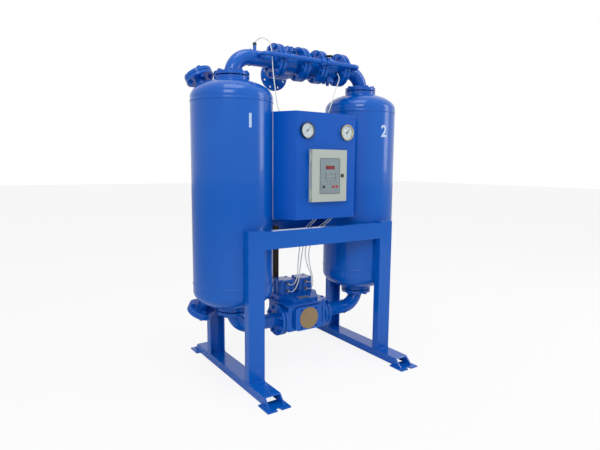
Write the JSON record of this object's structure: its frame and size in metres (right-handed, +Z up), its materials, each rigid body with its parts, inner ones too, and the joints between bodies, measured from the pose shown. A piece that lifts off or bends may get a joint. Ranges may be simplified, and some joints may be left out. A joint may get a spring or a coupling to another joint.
{
  "type": "desiccant air dryer",
  "caption": "Twin-tower desiccant air dryer: flanged pressure vessels in a channel frame, with a changeover inlet valve below, check valves and outlet above, and a control cabinet between.",
  "frame": {"origin": "on the floor, at the middle of the overall box", "axes": "+X from the left tower to the right tower seen from the front, +Y from the control cabinet to the outlet flange, +Z up"},
  "size_m": [1.4206, 1.06, 1.9881],
  "materials": {
    "blue_paint": "gloss",
    "cover_paint": "gloss",
    "cabinet_paint": "satin",
    "desiccant": "matte",
    "gasket_sheet": "matte",
    "steel": "satin",
    "brass": "satin",
    "black_plastic": "satin",
    "card": "matte",
    "bronze": "matte",
    "grey_foil": "satin",
    "red_window": "gloss",
    "red_plastic": "gloss",
    "chrome": "polished",
    "dark_chrome": "polished",
    "gold_chrome": "polished",
    "white_enamel": "satin",
    "clear_glass": "gloss",
    "tube_white": "satin"
  },
  "bodies": {
    "frame": {"base_rail_left": "blue_paint", "base_rail_right": "blue_paint", "post_front_left": "blue_paint", "post_front_right": "blue_paint", "post_rear_left": "blue_paint", "post_rear_right": "blue_paint", "beam_front": "blue_paint", "beam_rear": "blue_paint", "vessel_left": "blue_paint", "vessel_right": "blue_paint", "desiccant_bed_left": "desiccant", "desiccant_bed_right": "desiccant", "fill_covers": "blue_paint", "drain_covers": "blue_paint", "gaskets": "gasket_sheet", "vessel_bolts": "blue_paint", "line_bolts": "blue_paint", "outlet_pipe_left": "blue_paint", "outlet_pipe_right": "blue_paint", "check_valve_body_left": "blue_paint", "check_valve_body_right": "blue_paint", "check_valve_caps": "blue_paint", "outlet_tee": "blue_paint", "purge_valve_body": "blue_paint", "inlet_pipe_left": "blue_paint", "inlet_pipe_right": "blue_paint", "inlet_valve_body": "blue_paint", "inlet_valve_cover": "blue_paint", "actuator_left": "blue_paint", "actuator_right": "blue_paint", "actuator_fittings": "brass", "port_disc": "card", "silencer": "bronze", "control_cover": "cover_paint", "cabinet_body": "cabinet_paint", "gauge_case_left": "dark_chrome", "gauge_case_right": "gold_chrome", "gauge_dials": "white_enamel", "gauge_glasses": "clear_glass", "pilot_valves": "black_plastic", "sensor_tube_left": "tube_white", "sensor_tube_right": "tube_white", "control_tube_1": "tube_white", "control_tube_2": "tube_white", "control_tube_3": "tube_white", "control_tube_4": "tube_white"},
    "door": {"cabinet_door": "cabinet_paint", "key_panel": "grey_foil", "display_window": "red_window"},
    "lock": {"door_lock": "chrome"},
    "push_button_1": {"button_1": "black_plastic"},
    "push_button_2": {"button_2": "black_plastic"},
    "push_button_3": {"button_3": "red_plastic"},
    "handwheel": {"purge_handwheel": "black_plastic"},
    "poppet_left": {"check_poppet_left": "steel"},
    "poppet_right": {"check_poppet_right": "steel"},
    "piston_left": {"valve_piston_left": "steel"},
    "piston_right": {"valve_piston_right": "steel"},
    "pointer_left": {"gauge_pointer_left": "black_plastic"},
    "pointer_right": {"gauge_pointer_right": "black_plastic"}
  },
  "joints": [
    {"name": "door_hinge", "type": "hinge", "parent": "frame", "child": "door", "pos_m": [-0.1296, -0.289, 1.2015], "axis": [0, 0, -1], "range_deg": [0, 110]},
    {"name": "lock_turn", "type": "hinge", "parent": "door", "child": "lock", "pos_m": [0.092, -0.3, 1.202], "axis": [0, 1, 0], "range_deg": [0, 90]},
    {"name": "button_1_press", "type": "slide", "parent": "door", "child": "push_button_1", "axis": [0, 1, 0], "range_m": [0, 0.0035], "stiffness_N_per_m": 400},
    {"name": "button_2_press", "type": "slide", "parent": "door", "child": "push_button_2", "axis": [0, 1, 0], "range_m": [0, 0.0035], "stiffness_N_per_m": 400},
    {"name": "button_3_press", "type": "slide", "parent": "door", "child": "push_button_3", "axis": [0, 1, 0], "range_m": [0, 0.0035], "stiffness_N_per_m": 400},
    {"name": "purge_wheel_turn", "type": "hinge", "parent": "frame", "child": "handwheel", "pos_m": [0.121, -0.118, 1.919], "axis": [0, 0, 1], "range_deg": [-180, 1080]},
    {"name": "poppet_left_lift", "type": "slide", "parent": "frame", "child": "poppet_left", "axis": [1, 0, 0], "range_m": [0, 0.015], "stiffness_N_per_m": 150, "springref_m": -0.01},
    {"name": "poppet_right_lift", "type": "slide", "parent": "frame", "child": "poppet_right", "axis": [-1, 0, 0], "range_m": [0, 0.015], "stiffness_N_per_m": 150, "springref_m": -0.01},
    {"name": "piston_left_lift", "type": "slide", "parent": "frame", "child": "piston_left", "axis": [0, 0, 1], "range_m": [0, 0.02]},
    {"name": "piston_right_lift", "type": "slide", "parent": "frame", "child": "piston_right", "axis": [0, 0, 1], "range_m": [0, 0.02]},
    {"name": "pointer_left_turn", "type": "hinge", "parent": "frame", "child": "pointer_left", "pos_m": [-0.142, -0.2762, 1.455], "axis": [0, 1, 0], "range_deg": [-180, 90]},
    {"name": "pointer_right_turn", "type": "hinge", "parent": "frame", "child": "pointer_right", "pos_m": [0.142, -0.2762, 1.455], "axis": [0, 1, 0], "range_deg": [-180, 90]}
  ]
}
